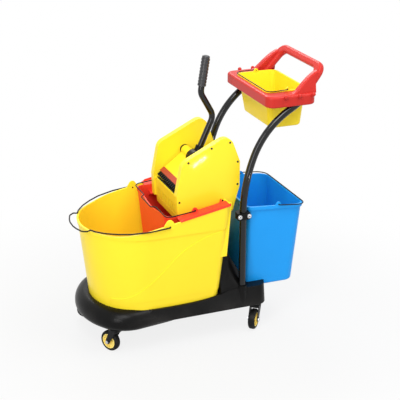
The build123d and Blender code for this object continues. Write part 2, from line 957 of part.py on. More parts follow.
with BuildPart() as main_bucket:
    loft([main_section(bucket_floor_z, 0), main_section(trim_z, 0)], ruled=True)
    fillet(main_bucket.edges().group_by(Axis.Z)[0], bucket_foot_round)
    add(rim_band_ring.part)
    add(swoosh_panel.part)
    # Flanges at the back corners, leaning with the back wall
    flange_rise = flange_foot_z - bucket_floor_z
    flange_y = bucket_foot_half + rise(flange_rise, bucket_side_draft)
    flange_foot_x = bucket_foot_back + rise(flange_rise, bucket_back_draft)
    flange_top_x = bucket_foot_back + rise(trim_z - bucket_floor_z, bucket_back_draft)
    for hand in (1, -1):
        with BuildSketch(Plane.XZ.offset(-hand * flange_y)):
            with BuildLine():
                Polyline(
                    (flange_foot_x - bucket_back_corner, flange_foot_z),
                    (flange_foot_x + flange_depth, flange_foot_z),
                    (flange_top_x + flange_depth, trim_z),
                    (flange_top_x - bucket_back_corner, trim_z),
                    close=True,
                )
            make_face()
        extrude(amount=hand * flange_width)
    # Rim line, seen from the side
    with BuildSketch(Plane.XZ) as below_rim:
        with BuildLine():
            Polyline(
                (-far_x, 0),
                (-far_x, rim_front_z),
                (rim_knee_x, rim_front_z),
                (far_x, rim_height(far_x)),
                (far_x, 0),
                close=True,
            )
        make_face()
        fillet(below_rim.vertices().sort_by_distance((rim_knee_x, rim_front_z))[0], rim_knee_round)
    extrude(amount=far_x, both=True, mode=Mode.INTERSECT)
    # Ears for the bail
    ear_half = bucket_foot_half + rise(main_ear_z - bucket_floor_z, bucket_side_draft) + rim_band
    for hand in (1, -1):
        with BuildSketch(Plane.XZ.offset(-hand * ear_half)):
            with Locations((main_ear_x, main_ear_z + main_ear_rise)):
                Circle(main_ear_radius)
            with Locations((main_ear_x, main_ear_z + main_ear_rise - main_ear_radius)):
                Rectangle(3 * main_ear_radius, main_ear_radius)
            make_hull()
        extrude(amount=hand * main_ear_thickness)
    # Inside
    loft(
        [
            main_section(bucket_floor_z + bucket_bottom, -bucket_wall),
            main_section(trim_z, -bucket_wall),
        ],
        ruled=True,
        mode=Mode.SUBTRACT,
    )
    # Gap in the back wall that the wringer sits in
    notch_half = wringer_half + notch_side_gap
    with BuildSketch(Plane.YZ.offset(bucket_foot_back - bucket_back_corner)):
        with BuildLine():
            Polyline(
                (notch_half, trim_z),
                (notch_half, wringer_foot_z - notch_foot_gap),
                (-notch_half, wringer_foot_z - notch_foot_gap),
                (-notch_half, trim_z),
                close=True,
            )
        make_face()
    extrude(amount=far_x, mode=Mode.SUBTRACT)
    # Bail holes
    with BuildSketch(Plane.XZ.offset(-far_x)):
        with Locations((main_ear_x, main_ear_z)):
            Circle(main_wire_radius + running_gap)
    extrude(amount=2 * far_x, mode=Mode.SUBTRACT)
main_bucket.part.label = "main_bucket"
export_step(main_bucket.part, "parts/main_bucket.step")

# Red bucket, hung in the back half of the front bucket by flanges that lie on its rim
flange_lift = seat_gap + inner_flange_thickness
inner_top_z = rim_back_z + inner_trim_margin
inner_ramp_x = inner_flange_front_x + inner_flange_ramp
inner_rake_x = inner_flange_front_x + inner_flange_rake
with BuildPart() as inner_bucket:
    loft([inner_section(inner_floor_z, 0), inner_section(inner_top_z, 0)], ruled=True)
    fillet(inner_bucket.edges().group_by(Axis.Z)[0], bucket_foot_round)
    extrude(inner_section(inner_mouth_z - inner_lip_depth, inner_lip), amount=inner_lip_depth)
    extrude(
        side_face(
            (-far_x, 0),
            (-far_x, inner_mouth_z),
            (inner_flange_front_x, inner_mouth_z),
            (inner_ramp_x, rim_height(inner_ramp_x) + flange_lift),
            (far_x, rim_height(far_x) + flange_lift),
            (far_x, 0),
        ),
        amount=far_x,
        both=True,
        mode=Mode.INTERSECT,
    )
    # Side flanges with an upturned lip
    flange_half = bucket_foot_half + rise(rim_back_z - bucket_floor_z, bucket_side_draft) + rim_band
    for hand in (1, -1):
        with BuildSketch(Plane.XZ.offset(-hand * (inner_half - inner_wall))):
            with BuildLine():
                Polyline(
                    (inner_flange_front_x, rim_height(inner_flange_front_x) + seat_gap),
                    (inner_flange_back_x, rim_height(inner_flange_back_x) + seat_gap),
                    (inner_flange_back_x, rim_height(inner_flange_back_x) + flange_lift),
                    (inner_flange_front_x, rim_height(inner_flange_front_x) + flange_lift),
                    close=True,
                )
            make_face()
        extrude(amount=-hand * (flange_half - inner_half + inner_wall))
        with BuildSketch(Plane.XZ.offset(-hand * flange_half)):
            with BuildLine():
                Polyline(
                    (inner_flange_front_x, rim_height(inner_flange_front_x) + seat_gap),
                    (inner_flange_back_x, rim_height(inner_flange_back_x) + seat_gap),
                    (inner_flange_back_x, rim_height(inner_flange_back_x) + inner_flange_lip),
                    (inner_rake_x, rim_height(inner_flange_front_x) + inner_flange_lip),
                    close=True,
                )
            make_face()
        extrude(amount=hand * inner_wall)
    # Ears for the bail
    inner_ear_z = rim_height(inner_ear_x) + flange_lift + inner_ear_radius / 2
    for hand in (1, -1):
        with BuildSketch(Plane.XZ.offset(-hand * (inner_half + inner_ear_stand))):
            with Locations((inner_ear_x, inner_ear_z)):
                Circle(inner_ear_radius)
            with Locations((inner_ear_x, inner_ear_z - inner_ear_radius)):
                Rectangle(3 * inner_ear_radius, inner_ear_radius)
            make_hull()
        extrude(amount=hand * inner_ear_thickness)
    # Inside, with shelves for the wringer
    loft(
        [
            inner_section(inner_floor_z + inner_wall, -inner_wall),
            inner_section(inner_top_z, -inner_wall),
        ],
        ruled=True,
        mode=Mode.SUBTRACT,
    )
    for hand in (1, -1):
        shelf_y = hand * (inner_half - inner_wall / 2)
        with BuildSketch(Plane.YZ.offset(mouth_lip_x - inner_shelf_lead)):
            with BuildLine():
                Polyline(
                    (shelf_y, wringer_foot_z - seat_gap),
                    (shelf_y - hand * inner_shelf_width, wringer_foot_z - seat_gap),
                    (shelf_y - hand * inner_shelf_width, wringer_foot_z - seat_gap - inner_wall),
                    (shelf_y, wringer_foot_z - seat_gap - inner_shelf_depth),
                    close=True,
                )
            make_face()
        extrude(amount=inner_back_x - mouth_lip_x + inner_shelf_tail)
    # Dip in the front rim, gap in the back rim, bail holes
    with BuildSketch(Plane.YZ.offset(inner_front_x - inner_corner)):
        with BuildLine():
            dip = ThreePointArc(
                (-inner_dip_half, inner_mouth_z),
                (0, inner_mouth_z - inner_dip),
                (inner_dip_half, inner_mouth_z),
            )
            Polyline(dip @ 1, (inner_dip_half, inner_top_z), (-inner_dip_half, inner_top_z), dip @ 0)
        make_face()
    extrude(amount=2 * inner_corner, mode=Mode.SUBTRACT)
    with BuildSketch(Plane.YZ.offset(inner_back_x - inner_corner)):
        with BuildLine():
            Polyline(
                (wringer_half + pocket_gap, inner_top_z),
                (wringer_half + pocket_gap, wringer_foot_z - seat_gap),
                (-wringer_half - pocket_gap, wringer_foot_z - seat_gap),
                (-wringer_half - pocket_gap, inner_top_z),
                close=True,
            )
        make_face()
    extrude(amount=far_x, mode=Mode.SUBTRACT)
    with BuildSketch(Plane.XZ.offset(-far_x)):
        with Locations((inner_ear_x, inner_ear_z)):
            Circle(inner_wire_radius + running_gap)
    extrude(amount=2 * far_x, mode=Mode.SUBTRACT)
inner_bucket.part.label = "inner_bucket"
export_step(inner_bucket.part, "parts/inner_bucket.step")

# Wringer: two hollow side casings joined by a mouth wall and a back wall
casing_depth = wringer_half - cover_thickness - casing_inner_half
screw_line = casing_outline(0, cover_boss_radius + casing_wall - cover_boss_bite).wire()
screw_places = [screw_line @ turn for turn in cover_screw_turns]
screw_points = [(place.X, place.Z) for place in screw_places]
screw_points.append((lever_x + cover_screw_inner[0], lever_z + cover_screw_inner[1]))
with BuildPart() as wringer_frame:
    for hand in (1, -1):
        inner_y = hand * casing_inner_half
        extrude(casing_outline(inner_y, 0), amount=-hand * casing_depth)
        extrude(
            casing_outline(inner_y + hand * casing_wall, casing_wall),
            amount=-hand * (casing_depth - casing_wall),
            mode=Mode.SUBTRACT,
        )
        with BuildSketch(Plane.XZ.offset(-inner_y)):
            with Locations(*screw_points):
                Circle(cover_boss_radius)
            with Locations((lever_x, lever_z)):
                Circle(bush_radius + 2 * casing_wall)
        extrude(amount=-hand * casing_depth)
        extrude(
            ring_band(
                inner_y, strainer_radius + strainer_thickness + seat_gap,
                strainer_radius + strainer_thickness + seat_gap + strainer_ledge,
                strainer_front_angle + strainer_rail_angle, strainer_back_angle - strainer_rail_angle,
            ),
            amount=hand * strainer_ledge,
        )
    with BuildSketch(Plane.XZ):
        with BuildLine():
            Polyline(
                (mouth_lip_x, mouth_lip_z),
                (mouth_lip_x + mouth_wall, mouth_lip_z),
                (mouth_lip_x + mouth_wall + mouth_rake, mouth_foot_z),
                (mouth_lip_x + mouth_rake, mouth_foot_z),
                close=True,
            )
        make_face()
    extrude(amount=casing_inner_half, both=True)
    with BuildSketch(Plane.XZ):
        add(casing_outline(0, 0))
        add(casing_outline(0, mouth_wall), mode=Mode.SUBTRACT)
        with Locations((casing_back_x, lever_z - back_wall_drop)):
            Rectangle(back_wall_depth, back_wall_height, mode=Mode.INTERSECT)
    extrude(amount=casing_inner_half, both=True)
    # Drain slots, screw holes and bush bores
    with BuildSketch(Plane.YZ.offset(mouth_lip_x - mouth_wall)):
        with GridLocations(mouth_slot_pitch, 0, mouth_slot_count, 1):
            with Locations((0, mouth_foot_z + mouth_slot_height)):
                SlotOverall(mouth_slot_height, mouth_slot_width, rotation=90)
    extrude(amount=4 * mouth_wall, mode=Mode.SUBTRACT)
    for hand in (1, -1):
        with BuildSketch(Plane.XZ.offset(-hand * wringer_half)):
            with Locations(*screw_points):
                Circle(cover_screw_radius + running_gap)
        extrude(amount=hand * (cover_thickness + cover_screw_length), mode=Mode.SUBTRACT)
        with BuildSketch(Plane.XZ.offset(-hand * wringer_half)):
            with Locations((lever_x, lever_z)):
                Circle(bush_radius + running_gap)
        extrude(amount=hand * wringer_half, mode=Mode.SUBTRACT)
wringer_frame.part.label = "wringer_frame"
export_step(wringer_frame.part, "parts/wringer_frame.step")

for place, hand in (("left", -1), ("right", 1)):
    with BuildPart() as cover:
        extrude(casing_outline(hand * (wringer_half - cover_thickness), 0), amount=-hand * cover_thickness)
        fillet(cover.faces().sort_by(Axis.Y)[-1 if hand > 0 else 0].edges(), cover_edge_round)
        with BuildSketch(Plane.XZ.offset(-hand * wringer_half)):
            with Locations(*screw_points):
                Circle(cover_screw_head_radius + running_gap)
        extrude(amount=hand * cover_screw_head_height, mode=Mode.SUBTRACT)
        with BuildSketch(Plane.XZ.offset(-hand * wringer_half)):
            with Locations(*screw_points):
                Circle(cover_screw_radius + running_gap)
        extrude(amount=hand * cover_thickness, mode=Mode.SUBTRACT)
    cover.part.label = f"side_cover_{place}"
    export_step(cover.part, f"parts/side_cover_{place}.step")

    with BuildPart() as bush:
        bush_length = casing_depth - bush_end_gap
        with BuildSketch(Plane.XZ.offset(-hand * (casing_inner_half - bush_flange))):
            with Locations((lever_x, lever_z)):
                Circle(bush_flange_radius)
        extrude(amount=-hand * bush_flange)
        with BuildSketch(Plane.XZ.offset(-hand * casing_inner_half)):
            with Locations((lever_x, lever_z)):
                Circle(bush_radius)
        extrude(amount=-hand * bush_length)
        with BuildSketch(Plane.XZ.offset(-hand * (casing_inner_half - bush_flange))):
            with Locations((lever_x, lever_z)):
                Circle(shaft_radius + running_gap)
        extrude(amount=-hand * (bush_length + bush_flange), mode=Mode.SUBTRACT)
    bush.part.label = f"shaft_bush_{place}"
    export_step(bush.part, f"parts/shaft_bush_{place}.step")

with BuildPart() as cover_screws:
    for hand in (1, -1):
        with BuildSketch(Plane.XZ.offset(-hand * wringer_half)):
            with Locations(*screw_points):
                Circle(cover_screw_head_radius)
        extrude(amount=hand * cover_screw_head_height)
        with BuildSketch(Plane.XZ.offset(-hand * (wringer_half - cover_screw_head_height))):
            with Locations(*screw_points):
                Circle(cover_screw_radius)
        extrude(amount=hand * cover_screw_length)
cover_screws.part.label = "cover_screws"
export_step(cover_screws.part, "parts/cover_screws.step")

with BuildPart() as strainer:
    bar_pitch = (2 * strainer_half - strainer_bar_width) / (strainer_bar_count - 1)
    for bar in range(strainer_bar_count):
        bar_y = bar * bar_pitch - strainer_half
        extrude(
            ring_band(
                bar_y, strainer_radius, strainer_radius + strainer_thickness,
                strainer_front_angle, strainer_back_angle,
            ),
            amount=-strainer_bar_width,
        )
    middle = (strainer_front_angle + strainer_back_angle - strainer_rail_angle) / 2
    for start in (strainer_front_angle, middle, strainer_back_angle - strainer_rail_angle):
        extrude(
            ring_band(
                0, strainer_radius, strainer_radius + strainer_thickness, start, start + strainer_rail_angle
            ),
            amount=strainer_half,
            both=True,
        )
strainer.part.label = "strainer"
export_step(strainer.part, "parts/strainer.step")

# Lever: shaft, hub, bent tube and grip
with BuildPart() as lever_shaft:
    with BuildSketch(Plane.XZ):
        with Locations((lever_x, lever_z)):
            Circle(shaft_radius)
    extrude(amount=casing_inner_half + casing_depth - shaft_end_gap, both=True)
    chamfer(lever_shaft.edges().group_by(Axis.Y)[0] + lever_shaft.edges().group_by(Axis.Y)[-1], shaft_chamfer)
lever_shaft.part.label = "lever_shaft"
export_step(lever_shaft.part, "parts/lever_shaft.step")

lever_lean = math.hypot(*lever_knee)
lever_line = Plane(
    origin=(lever_x, 0, lever_z), z_dir=(lever_knee[0] / lever_lean, 0, lever_knee[1] / lever_lean)
)
with BuildPart() as lever_hub:
    with BuildSketch(Plane.XZ):
        with Locations((lever_x, lever_z)):
            Circle(lever_hub_radius)
    extrude(amount=hub_half, both=True)
    fillet(lever_hub.edges(), lever_hub_round)
    with BuildSketch(lever_line):
        Circle(hub_collar_radius)
    extrude(amount=hub_collar_length)
    with BuildSketch(lever_line.offset(lever_root)):
        Circle(lever_tube_radius + running_gap)
    extrude(amount=hub_collar_length, mode=Mode.SUBTRACT)
    with BuildSketch(Plane.XZ):
        with Locations((lever_x, lever_z)):
            Circle(shaft_radius + running_gap)
    extrude(amount=hub_half, both=True, mode=Mode.SUBTRACT)
lever_hub.part.label = "lever_hub"
export_step(lever_hub.part, "parts/lever_hub.step")

knee = (lever_x + lever_knee[0], lever_z + lever_knee[1])
neck = (lever_x + lever_neck[0], lever_z + lever_neck[1])
tip = (lever_x + lever_tip[0], lever_z + lever_tip[1])
root = (
    lever_x + lever_root * lever_knee[0] / lever_lean,
    lever_z + lever_root * lever_knee[1] / lever_lean,
)
with BuildPart() as lever_tube:
    with BuildLine(Plane.XZ) as lever_route:
        FilletPolyline(root, knee, neck, tip, radius=lever_bend)
    with BuildSketch(lever_line.offset(lever_root)):
        Circle(lever_tube_radius)
        Circle(lever_tube_radius - lever_tube_wall, mode=Mode.SUBTRACT)
    sweep(path=lever_route.wire())
lever_tube.part.label = "lever_tube"
export_step(lever_tube.part, "parts/lever_tube.step")

grip_top = Plane(origin=(tip[0], 0, tip[1]), z_dir=(tip[0] - neck[0], 0, tip[1] - neck[1]))
with BuildPart() as lever_grip:
    with BuildSketch(grip_top.offset(-grip_length)):
        Circle(grip_radius - grip_rib_depth)
    extrude(amount=grip_length + grip_cap)
    rib_pitch = grip_length / grip_rib_count
    for rib in range(grip_rib_count):
        with BuildSketch(grip_top.offset(rib * rib_pitch - grip_length)):
            Circle(grip_radius)
        extrude(amount=rib_pitch * grip_rib_share)
    fillet(lever_grip.faces().sort_by(Axis.Z)[-1].edges(), grip_tip_round)
    with BuildSketch(grip_top.offset(-grip_length)):
        Circle(lever_tube_radius + running_gap)
    extrude(amount=grip_length, mode=Mode.SUBTRACT)
lever_grip.part.label = "lever_grip"
export_step(lever_grip.part, "parts/lever_grip.step")

# Press: a ribbed plate on the shaft, edged with a soft strip and a comb
press_turn = math.radians(press_angle)
press_side = Plane(
    origin=(lever_x, 0, lever_z), x_dir=(math.cos(press_turn), 0, math.sin(press_turn)), z_dir=(0, -1, 0)
)
with BuildPart() as press_plate:
    with BuildSketch(press_side):
        Circle(press_sleeve_radius)
        with Locations((press_reach / 2, 0)):
            Rectangle(press_reach, press_plate_thickness)
    extrude(amount=press_half, both=True)
    for rib in range(press_rib_count):
        rib_y = (2 * rib / (press_rib_count - 1) - 1) * (press_half - rib_thickness)
        with BuildSketch(press_side.offset(rib_y)):
            with BuildLine():
                Polyline(
                    (0, 0),
                    (press_sleeve_radius, press_plate_thickness / 2 + press_rib_height),
                    (press_reach - press_rib_toe, press_plate_thickness / 2),
                    (press_reach - press_rib_toe, 0),
                    close=True,
                )
            make_face()
        extrude(amount=rib_thickness / 2, both=True)
    with BuildSketch(press_side):
        Circle(shaft_radius + running_gap)
    extrude(amount=press_half, both=True, mode=Mode.SUBTRACT)
    with BuildSketch(press_side):
        Circle(hub_collar_length + hub_clear)
    extrude(amount=hub_half + hub_side_clear, both=True, mode=Mode.SUBTRACT)
press_plate.part.label = "press_plate"
export_step(press_plate.part, "parts/press_plate.step")

with BuildPart() as press_strip:
    with BuildSketch(press_side):
        with Locations(((press_reach - strip_bite + strip_reach) / 2, 0)):
            Rectangle(strip_reach - press_reach + strip_bite, strip_thickness)
        with Locations((press_reach / 2, 0)):
            Rectangle(press_reach, press_plate_thickness, mode=Mode.SUBTRACT)
        with Locations((comb_root + far_x / 2, 0)):
            Rectangle(far_x, comb_thickness, mode=Mode.SUBTRACT)
    extrude(amount=press_half, both=True)
press_strip.part.label = "press_strip"
export_step(press_strip.part, "parts/press_strip.step")

with BuildPart() as press_comb:
    with BuildSketch(press_side):
        with Locations(((comb_root + comb_reach) / 2, 0)):
            Rectangle(comb_reach - comb_root, comb_thickness)
    extrude(amount=press_half, both=True)
    tooth_pitch = (2 * press_half - comb_tooth_width) / (comb_tooth_count - 1)
    comb_slot_length = 2 * (comb_reach - strip_reach) - comb_slot_short
    with BuildSketch(Plane(press_side.origin, x_dir=press_side.x_dir, z_dir=press_side.y_dir)):
        with Locations((comb_reach, tooth_pitch / 2)):
            with GridLocations(0, tooth_pitch, 1, comb_tooth_count - 1):
                with Locations((0, -tooth_pitch / 2)):
                    SlotOverall(comb_slot_length, tooth_pitch - comb_tooth_width)
    extrude(amount=comb_thickness, both=True, mode=Mode.SUBTRACT)
press_comb.part.label = "press_comb"
export_step(press_comb.part, "parts/press_comb.step")

# Blue bucket: stands on the base tail, hooks on the clamps and steps down behind the base
rear_top_z = rear_mouth_z + rear_mouth_slope + rear_rim_depth
rear_step_x = base_tail_x + rear_step_gap
rear_step_z = deck_z + seat_gap
with BuildPart() as rear_rim_ring:
    loft([rear_section(rear_floor_z, rear_rim_band), rear_section(rear_top_z, rear_rim_band)], ruled=True)
    extrude(
        side_face(
            (0, rear_rim_height(0) - rear_rim_depth),
            (far_x, rear_rim_height(far_x) - rear_rim_depth),
            (far_x, rear_rim_height(far_x)),
            (0, rear_rim_height(0)),
        ),
        amount=far_x,
        both=True,
        mode=Mode.INTERSECT,
    )
with BuildPart() as rear_inside:
    loft(
        [
            rear_section(rear_floor_z + rear_wall, -rear_wall),
            rear_section(rear_top_z, -rear_wall),
        ],
        ruled=True,
    )
    extrude(
        side_face(
            (0, 0),
            (rear_step_x + rear_wall, 0),
            (rear_step_x + rear_wall, rear_step_z + rear_wall),
            (0, rear_step_z + rear_wall),
        ),
        amount=far_x,
        both=True,
        mode=Mode.SUBTRACT,
    )
rear_ear_z = rear_rim_height(rear_ear_x) + rear_ear_radius / 2
rear_ear_half = rear_half + rear_rim_band
with BuildPart() as rear_bucket:
    loft([rear_section(rear_floor_z, 0), rear_section(rear_top_z, 0)], ruled=True)
    fillet(rear_bucket.edges().group_by(Axis.Z)[0], rear_foot_round)
    add(rear_rim_ring.part)
    extrude(
        side_face((0, 0), (0, rear_rim_height(0)), (far_x, rear_rim_height(far_x)), (far_x, 0)),
        amount=far_x,
        both=True,
        mode=Mode.INTERSECT,
    )
    for hand in (1, -1):
        with BuildSketch(Plane.XZ.offset(-hand * rear_ear_half)):
            with Locations((rear_ear_x, rear_ear_z)):
                Circle(rear_ear_radius)
            with Locations((rear_ear_x, rear_ear_z - rear_ear_radius)):
                Rectangle(3 * rear_ear_radius, rear_ear_radius)
            make_hull()
        extrude(amount=hand * rear_ear_thickness)
    extrude(
        side_face((0, 0), (rear_step_x, 0), (rear_step_x, rear_step_z), (0, rear_step_z)),
        amount=far_x,
        both=True,
        mode=Mode.SUBTRACT,
    )
    add(rear_inside.part, mode=Mode.SUBTRACT)
    with BuildSketch(Plane.XZ.offset(-far_x)):
        with Locations((rear_ear_x, rear_ear_z)):
            Circle(rear_wire_radius + running_gap)
    extrude(amount=2 * far_x, mode=Mode.SUBTRACT)
rear_bucket.part.label = "rear_bucket"
export_step(rear_bucket.part, "parts/rear_bucket.step")

# Handle tray: a hollow frame on top of the uprights with a raked D-shaped push bar
loop_root_z = tray_top_z - loop_root_drop
loop_turn = math.radians(loop_angle)
loop_plane = Plane(
    origin=(loop_root_x, 0, loop_root_z),
    x_dir=(0, -1, 0),
    z_dir=(-math.sin(loop_turn), 0, math.cos(loop_turn)),
)
with BuildPart() as push_loop:
    with BuildSketch(loop_plane):
        with BuildLine():
            FilletPolyline(
                (-loop_root_half, -loop_sink),
                (-loop_root_half, 0),
                (-loop_top_half, loop_reach),
                (loop_top_half, loop_reach),
                (loop_root_half, 0),
                (loop_root_half, -loop_sink),
                radius=(loop_bar, loop_corner, loop_corner, loop_bar),
            )
            Line((-loop_root_half, -loop_sink), (loop_root_half, -loop_sink))
        make_face()
        with BuildLine():
            FilletPolyline(
                (loop_arm - loop_root_half, -loop_sink),
                (loop_arm - loop_root_half, 0),
                (loop_arm - loop_top_half, loop_reach - loop_bar),
                (loop_top_half - loop_arm, loop_reach - loop_bar),
                (loop_root_half - loop_arm, 0),
                (loop_root_half - loop_arm, -loop_sink),
                radius=(loop_bar, loop_inner_corner, loop_inner_corner, loop_bar),
            )
            Line((loop_arm - loop_root_half, -loop_sink), (loop_root_half - loop_arm, -loop_sink))
        make_face(mode=Mode.SUBTRACT)
    extrude(amount=loop_depth / 2, both=True)
    across_loop = Axis(loop_plane.origin, loop_plane.z_dir)
    up_loop = Axis(loop_plane.origin, loop_plane.y_dir)
    loop_sides = push_loop.faces().sort_by(across_loop)
    fillet(
        loop_sides[0].edges().sort_by(up_loop)[2:] + loop_sides[-1].edges().sort_by(up_loop)[2:],
        loop_edge_round,
    )

# Webs that sweep from the tray up into each arm of the push bar and lean in with it
web_lean = math.atan2(loop_root_half - loop_top_half, loop_reach * math.sin(loop_turn))
web_foot = loop_root_drop - tray_wall / 2
with BuildPart() as loop_webs:
    for hand in (1, -1):
        web_plane = Plane(
            origin=(0, hand * web_half, loop_root_z),
            x_dir=(1, 0, 0),
            z_dir=(0, -math.cos(web_lean), -hand * math.sin(web_lean)),
        )
        with BuildSketch(web_plane):
            with BuildLine():
                web_edge = Spline((web_front_x, web_foot), *web_crest, web_tip, tangents=web_tangents)
                Polyline(
                    web_edge @ 1,
                    (tray_back_x, web_back_rise),
                    (tray_back_x, web_foot),
                    web_edge @ 0,
                )
            make_face()
        extrude(amount=hand * web_thickness, dir=(0, -1, 0))
    fillet(loop_webs.edges().filter_by(GeomType.BSPLINE), web_round)

with BuildPart() as tray_body:
    extrude(
        box_outline(tray_foot_z, tray_front_x, tray_back_x, tray_half, tray_half, tray_corner, tray_corner),
        amount=tray_top_z - tray_foot_z,
    )
    fillet(tray_body.faces().sort_by(Axis.Z)[-1].edges(), tray_edge_round)
    fillet(tray_body.faces().sort_by(Axis.Z)[0].edges(), tray_foot_round)

with BuildPart() as tray_sockets:
    for hand in (1, -1):
        with BuildSketch(Plane.XY.offset(post_joint_z)):
            with Locations((post_x, hand * post_y)):
                Circle(post_radius + socket_wall)
        sweep(path=post_ends[hand])
    add(tray_body.part, mode=Mode.INTERSECT)

with BuildPart() as handle_tray:
    add(tray_body.part)
    extrude(
        box_outline(
            tray_foot_z,
            tray_front_x + tray_side_wall,
            tray_back_x - tray_side_wall,
            tray_half - tray_side_wall,
            tray_half - tray_side_wall,
            tray_corner - tray_side_wall,
            tray_corner - tray_side_wall,
        ),
        amount=tray_top_z - tray_foot_z - tray_wall,
        mode=Mode.SUBTRACT,
    )
    loft(
        [
            caddy_section(tray_foot_z, caddy_gap + tray_wall),
            caddy_section(tray_top_z, caddy_gap + tray_wall),
        ],
        ruled=True,
    )
    add(tray_sockets.part)
    add(push_loop.part)
    add(loop_webs.part)
    # Hanging pegs, leaning up and out
    horn_turn = math.radians(horn_tilt)
    for hand in (1, -1):
        for peg in range(horn_count):
            peg_x = horn_first_x + peg * horn_pitch
            peg_line = Plane(
                origin=(peg_x, hand * (tray_half - horn_inset), tray_top_z - horn_drop),
                z_dir=(0, hand * math.cos(horn_turn), math.sin(horn_turn)),
            )
            with BuildSketch(peg_line):
                Circle(horn_radius)
            extrude(amount=horn_length)
            with Locations(peg_line.offset(horn_length)):
                Sphere(horn_ball_radius)
    loft(
        [
            caddy_section(tray_foot_z, caddy_gap),
            caddy_section(tray_top_z, caddy_gap),
        ],
        ruled=True,
        mode=Mode.SUBTRACT,
    )
    for hand in (1, -1):
        with BuildSketch(Plane.XY.offset(post_joint_z)):
            with Locations((post_x, hand * post_y)):
                Circle(post_radius + fit_gap)
        sweep(path=post_ends[hand], mode=Mode.SUBTRACT)
handle_tray.part.label = "handle_tray"
export_step(handle_tray.part, "parts/handle_tray.step")

# Caddy, hung in the tray by its rim
caddy_rim_z = tray_top_z + seat_gap
caddy_ear_z = caddy_rim_z + caddy_ear_radius
caddy_ear_half = caddy_half
with BuildPart() as caddy:
    loft([caddy_section(caddy_floor_z, 0), caddy_section(caddy_rim_z, 0)], ruled=True)
    fillet(caddy.edges().group_by(Axis.Z)[0], caddy_foot_round)
    extrude(caddy_section(caddy_rim_z, caddy_rim), amount=caddy_rim_height)
    for hand in (1, -1):
        with BuildSketch(Plane.XZ.offset(-hand * caddy_ear_half)):
            with Locations((caddy_ear_x, caddy_ear_z)):
                Circle(caddy_ear_radius)
            with Locations((caddy_ear_x, caddy_rim_z + caddy_rim_height / 2)):
                Rectangle(3 * caddy_ear_radius, caddy_rim_height)
            make_hull()
        extrude(amount=hand * caddy_ear_thickness)
    loft(
        [
            caddy_section(caddy_floor_z + caddy_wall, -caddy_wall),
            caddy_section(caddy_rim_z + caddy_rim_height, -caddy_wall),
        ],
        ruled=True,
        mode=Mode.SUBTRACT,
    )
    with BuildSketch(Plane.XZ.offset(-far_x)):
        with Locations((caddy_ear_x, caddy_ear_z)):
            Circle(caddy_wire_radius + running_gap)
    extrude(amount=2 * far_x, mode=Mode.SUBTRACT)
caddy.part.label = "caddy"
export_step(caddy.part, "parts/caddy.step")

# Bails: bent wires that hang in the ears and lie on the rims; facing -1 lies forward, 1 rearward
bails = {
    "main_bail": (
        (main_ear_x, main_ear_z, ear_half, main_ear_thickness, -1, main_wire_radius),
        (main_bail_plan, main_bail_bends, main_bail_rest, rim_front_z),
    ),
    "inner_bail": (
        (inner_ear_x, inner_ear_z, inner_half + inner_ear_stand, inner_ear_thickness, -1, inner_wire_radius),
        (inner_bail_plan, inner_bail_bends, inner_bail_rest, inner_mouth_z),
    ),
    "rear_bail": (
        (rear_ear_x, rear_ear_z, rear_ear_half, rear_ear_thickness, 1, rear_wire_radius),
        (rear_bail_plan, rear_bail_bends, rear_bail_rest, rear_rim_height(rear_back_x)),
    ),
    "caddy_bail": (
        (caddy_ear_x, caddy_ear_z, caddy_ear_half, caddy_ear_thickness, -1, caddy_wire_radius),
        (caddy_bail_plan, caddy_bail_bends, caddy_bail_rest, caddy_rim_z + caddy_rim_height),
    ),
}
for name, (ear, plan) in bails.items():
    ear_x, ear_z, outer_half, ear_thickness, facing, wire_radius = ear
    bends, bend_radii, rest, rest_rim_z = plan
    tilt = math.atan2(ear_z - rest_rim_z - wire_radius - seat_gap, rest)
    bail_plane = Plane(
        origin=(ear_x, 0, ear_z),
        x_dir=(facing * math.cos(tilt), 0, -math.sin(tilt)),
        z_dir=(math.sin(tilt), 0, facing * math.cos(tilt)),
    )
    leg = outer_half + seat_gap + bail_ear_bend
    half_route = [(0, outer_half - ear_thickness - bail_end, 0), (0, leg, 0)]
    half_route += [(reach, half, -facing * sag) for reach, half, sag in bends]
    half_radii = [bail_ear_bend] + list(bend_radii)
    with BuildPart() as bail:
        with BuildLine(bail_plane) as bail_route:
            FilletPolyline(
                *half_route,
                *[(reach, -half, sag) for reach, half, sag in reversed(half_route)],
                radius=half_radii + half_radii[::-1],
            )
        with BuildSketch(Plane(origin=bail_route.wire() @ 0, z_dir=bail_route.wire() % 0)):
            Circle(wire_radius)
        sweep(path=bail_route.wire())
    bail.part.label = name
    export_step(bail.part, f"parts/{name}.step")
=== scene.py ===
# %% [markdown]
# # Triple mop bucket trolley
# This lesson dresses a mop trolley: a moulded black base on four castors, a yellow bucket with a
# red one inside it, a lever wringer, a blue bucket at the back and a raked red handle with a caddy.
# The shapes arrive as finished solids in metres, already in place, so the lesson is about finishes,
# small fittings, light and the camera.

import json
import math

import bmesh
import bpy
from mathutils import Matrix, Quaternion, Vector


